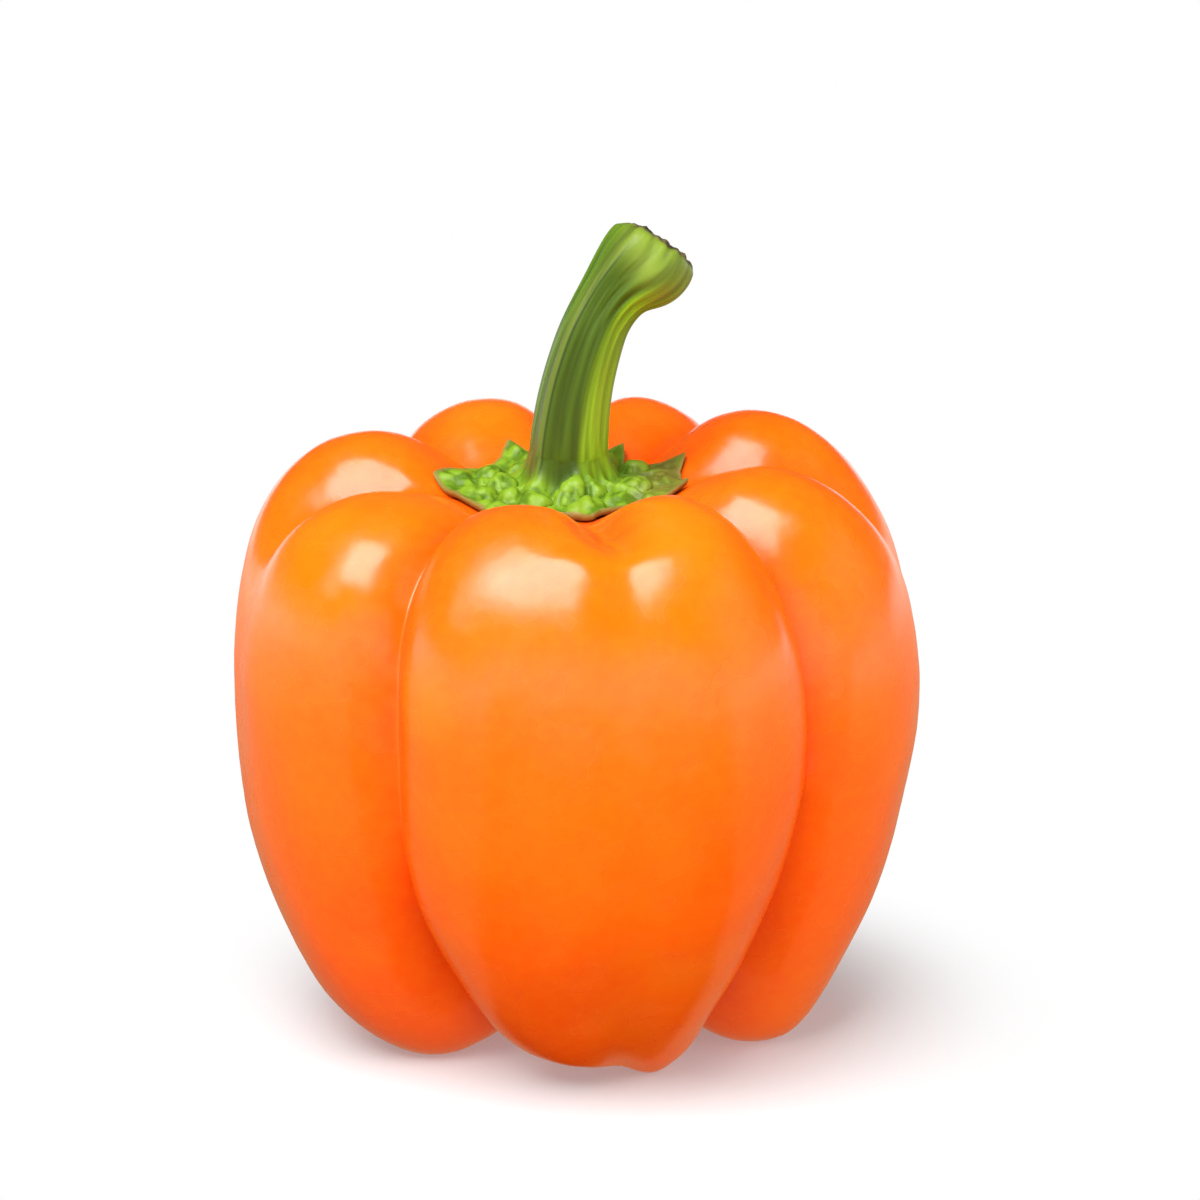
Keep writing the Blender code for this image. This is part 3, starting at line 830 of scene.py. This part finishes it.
# Where each of these starts and stops to change, and its share, or the roughness, before and after.
PATCHY, BLUSHED, LOW_BLUSH_SHADE = (0.42, 0.72, 0, 0.5), (0.45, 0.75, 0, 0.35), (0.1, 0.8, 1, 0.3)
GROOVE_SHADE, MOTTLED, ROUGH = (0.2, 0.9, 0, 0.35), (0.3, 0.7, 0, 0.12), (0.3, 0.7, 0.2, 0.3)
PORE_STRENGTH, PORE_DEPTH = 0.3, 0.06 * MM

skin = Finish("waxy_orange_skin")
spot = skin.node("ShaderNodeTexCoord", output="Object")
height = skin.node("ShaderNodeSeparateXYZ", {0: spot}, output="Z") * (1 / FRUIT_TOP)
hollow_here = skin.node("ShaderNodeAttribute", output="Fac", attribute_name="hollow")


def noise_at(graph, spot, per_metre, detail=2.0):
    """Noise from 0 to 1 with that many hills to a metre."""
    return graph.node("ShaderNodeTexNoise", {"Vector": spot, "Scale": per_metre, "Detail": detail})


def close_to(graph, spot, place, inner, outer):
    """1 within the inner distance of a place, and 0 beyond the outer one."""
    away = graph.node("ShaderNodeVectorMath", {0: spot, 1: place}, output="Value", operation="DISTANCE")
    return away.step(inner, outer, 1, 0)


# Painted shade by height: darker at the feet and on the shoulders than on the flanks.
shade_by_height = ((0.08, FOOT_SHADED), (0.45, FLANK), (0.8, FLANK), (0.92, SHOULDER_SHADED))
colour = skin.node("ShaderNodeValToRGB", {"Fac": height}, stops=shade_by_height)
patches = noise_at(skin, spot, PER_METRE["patches"]).step(*PATCHY)
colour = blend(skin, patches, colour, GOLDEN)
# Redder blushes at random, strongest low down, where they add painted shade to the feet.
blushes = noise_at(skin, spot, PER_METRE["blushes"]).step(*BLUSHED) * height.step(*LOW_BLUSH_SHADE)
colour = blend(skin, blushes, colour, RED_BLUSH_AND_SHADE)
# Redder and darker down in the grooves: painted shade.
colour = blend(skin, hollow_here.step(*GROOVE_SHADE), colour, RED_BLUSH_AND_SHADE)
golden = close_to(skin, spot, GOLDEN_AT, *GOLDEN_REACH) * GOLDEN_SHARE
colour = blend(skin, golden, colour, GOLDEN)
mottling = noise_at(skin, spot, PER_METRE["mottling"], FINE_DETAIL).step(*MOTTLED)
colour = blend(skin, mottling, colour, MOTTLED_COLOUR)
gloss = noise_at(skin, spot, PER_METRE["gloss"]).step(*ROUGH)
pores = noise_at(skin, spot, PER_METRE["pores"], FINE_DETAIL)
bump = skin.node("ShaderNodeBump", {"Height": pores, "Strength": PORE_STRENGTH, "Distance": PORE_DEPTH})
skin.set(Base_Color=colour, Roughness=gloss, Normal=bump)
print("orange skin of", len(skin.tree.nodes), "nodes")
fruit.data.materials.append(skin.material)

# %% [markdown]
# ## The green skin
#
# The stem has facets of different greens between its soft corners. The paler one on the right is partly
# painted light, and the greyer one on the left is partly painted sheen. Each has fine lengthwise streaks,
# darker in the grooves between the ribs, which is partly painted shade. Its head is paler. The calyx is a
# brighter yellow-green on its grains and dark in the creases between them, which is painted shade, with a
# dry yellow-brown rim and a brown side on the right. The cut is corky brown.

# %% Green skin
CORE_GREEN = (0.036, 0.07, 0.001, 1)
PALE_LIT_FACET = (0.15, 0.27, 0.006, 1)
GREY_SHEEN_FACET = (0.075, 0.11, 0.012, 1)
BACK_GREEN = (0.06, 0.12, 0.004, 1)
DARK_LINE = (0.012, 0.03, 0.002, 1)
HEAD_GREEN = (0.12, 0.175, 0.014, 1)
CALYX_TOP = (0.155, 0.27, 0.01, 1)
CALYX_CREASE_SHADE = (0.075, 0.15, 0.005, 1)
RIM_BROWN = (0.2, 0.15, 0.03, 1)
DRY_BROWN = (0.14, 0.1, 0.02, 1)
CORK_BROWN = (0.1, 0.075, 0.03, 1)
CORK_DARK = (0.02, 0.012, 0.006, 1)
# Round the stem, as shares of a turn from the front towards the right.
# The pale facet on the right is partly painted light, and the grey one on the left is partly painted sheen.
FACETS = (
    (0, CORE_GREEN), (0.035, CORE_GREEN), (0.06, PALE_LIT_FACET), (0.19, PALE_LIT_FACET), (0.27, BACK_GREEN),
    (0.8, BACK_GREEN), (0.86, GREY_SHEEN_FACET), (0.886, GREY_SHEEN_FACET), (0.893, DARK_LINE), (0.902, CORE_GREEN),
)
# Where each of these starts and stops to change, and its share, or its factor, before and after.
HEAD_ALONG, HEAD_ASIDE = (0.6, 0.8), (3 * MM, 9 * MM)
STREAK_SHADE_RANGE, CREASE_SHADE_RANGE = (0.25, 0.75, 0.75, 1.2), (0.25, 0.75)
DRY_ASIDE, DRY_PATCHES, DRY_SHARE = (5 * MM, 11 * MM), (0.25, 0.6, 0.35, 1), 0.75
ON_CALYX, ON_RIM, CORK_PATCHES = (0.02, 0.14), (0.93, 0.985), (0.35, 0.65)
GREEN_ROUGH, CORK_ROUGH, GREEN_SPECULAR = 0.45, 0.9, 0.28
FINE_STRENGTH, FINE_DEPTH = 0.4, 0.1 * MM
GREEN_PER_METRE = {"dry": 350, "cork": 800, "fine": 1500}

stalk = Finish("streaked_green_skin")
spot = stalk.node("ShaderNodeTexCoord", output="Object")
turned = stalk.node("ShaderNodeSeparateXYZ", {0: stalk.node("ShaderNodeUVMap")}, output="X")
aside = stalk.node("ShaderNodeSeparateXYZ", {0: spot}, output="X")
here = {name: stalk.node("ShaderNodeAttribute", output="Fac", attribute_name=name) for name in kept}
facets = stalk.node("ShaderNodeValToRGB", {"Fac": turned}, stops=FACETS)
head = here["along"].step(*HEAD_ALONG) * aside.step(*HEAD_ASIDE)
stem_colour = blend(stalk, head, facets, HEAD_GREEN)
# The stem's tone follows its ribs: lighter on them and darker in the grooves between them. This is partly
# streaks and partly painted shade.
streak_shade = here["streaks_and_crease_shade"].step(*STREAK_SHADE_RANGE)
brightness = stalk.node("ShaderNodeCombineColor", {0: streak_shade, 1: streak_shade, 2: streak_shade})
stem_colour = blend(stalk, 1.0, stem_colour, brightness, "MULTIPLY")
# The calyx is lighter on its grains and darker in the creases between them: painted shade.
calyx_colour = blend(stalk, here["streaks_and_crease_shade"].step(*CREASE_SHADE_RANGE), CALYX_CREASE_SHADE, CALYX_TOP)
dry = aside.step(*DRY_ASIDE) * noise_at(stalk, spot, GREEN_PER_METRE["dry"]).step(*DRY_PATCHES)
calyx_colour = blend(stalk, dry * DRY_SHARE, calyx_colour, DRY_BROWN)
calyx_colour = blend(stalk, here["edge"].step(*ON_RIM), calyx_colour, RIM_BROWN)
colour = blend(stalk, here["edge"].step(*ON_CALYX), stem_colour, calyx_colour)
cork_patches = noise_at(stalk, spot, GREEN_PER_METRE["cork"]).step(*CORK_PATCHES)
cork_colour = blend(stalk, cork_patches, CORK_DARK, CORK_BROWN)
colour = blend(stalk, here["cork"], colour, cork_colour)
fine = noise_at(stalk, spot, GREEN_PER_METRE["fine"], FINE_DETAIL)
bump = stalk.node("ShaderNodeBump", {"Height": fine, "Strength": FINE_STRENGTH, "Distance": FINE_DEPTH})
dull = here["cork"].step(0, 1, GREEN_ROUGH, CORK_ROUGH)
stalk.set(Base_Color=colour, Roughness=dull, Normal=bump, Specular_IOR_Level=GREEN_SPECULAR)
print("green skin of", len(stalk.tree.nodes), "nodes")
green.data.materials.append(stalk.material)

# %% [markdown]
# ## Handing the pieces over
#
# Each piece rides on the one body that the pepper has, and hides the solid that it stands for.

# %% Riding, and hiding the solids
for piece, node, slot in ((fruit, "fruit", "pepper_skin"), (green, "stem_with_calyx", "stem_green")):
    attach(piece, "root")
    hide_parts(node)
